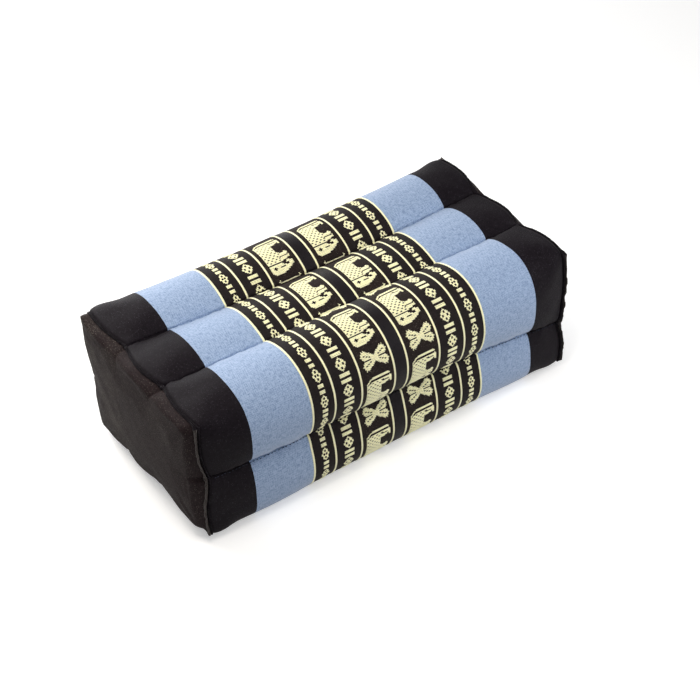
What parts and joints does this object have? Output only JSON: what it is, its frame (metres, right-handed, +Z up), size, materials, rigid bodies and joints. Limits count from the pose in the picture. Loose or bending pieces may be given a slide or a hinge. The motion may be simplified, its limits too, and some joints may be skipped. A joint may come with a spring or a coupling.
{
  "type": "yoga block cushion",
  "caption": "Firm stuffed block cushion for sitting or yoga, quilted in long channels, in banded black, blue and patterned handwoven cloth with flat sewn ends.",
  "frame": {"origin": "middle of the footprint, on the surface that the cushion lies on", "axes": "+X along the cushion, along its channels; -Y towards its front, the long side; +Z up"},
  "size_m": [0.354, 0.1787, 0.1189],
  "materials": {
    "patterned_cloth": "matt near-black cotton with raised cream brocade bands of elephants, flowers and rosettes",
    "blue_cloth": "matt heathered blue cotton with a fine plain weave",
    "black_cloth": "near-black cotton with a soft sheen",
    "end_panel_left_cloth": "near-black cotton, lightly worn",
    "end_panel_right_cloth": "near-black cotton, lightly worn"
  },
  "bodies": {
    "root": {"cushion_body": "patterned_cloth", "end_panel_left": "end_panel_left_cloth", "end_panel_right": "end_panel_right_cloth"}
  },
  "joints": []
}
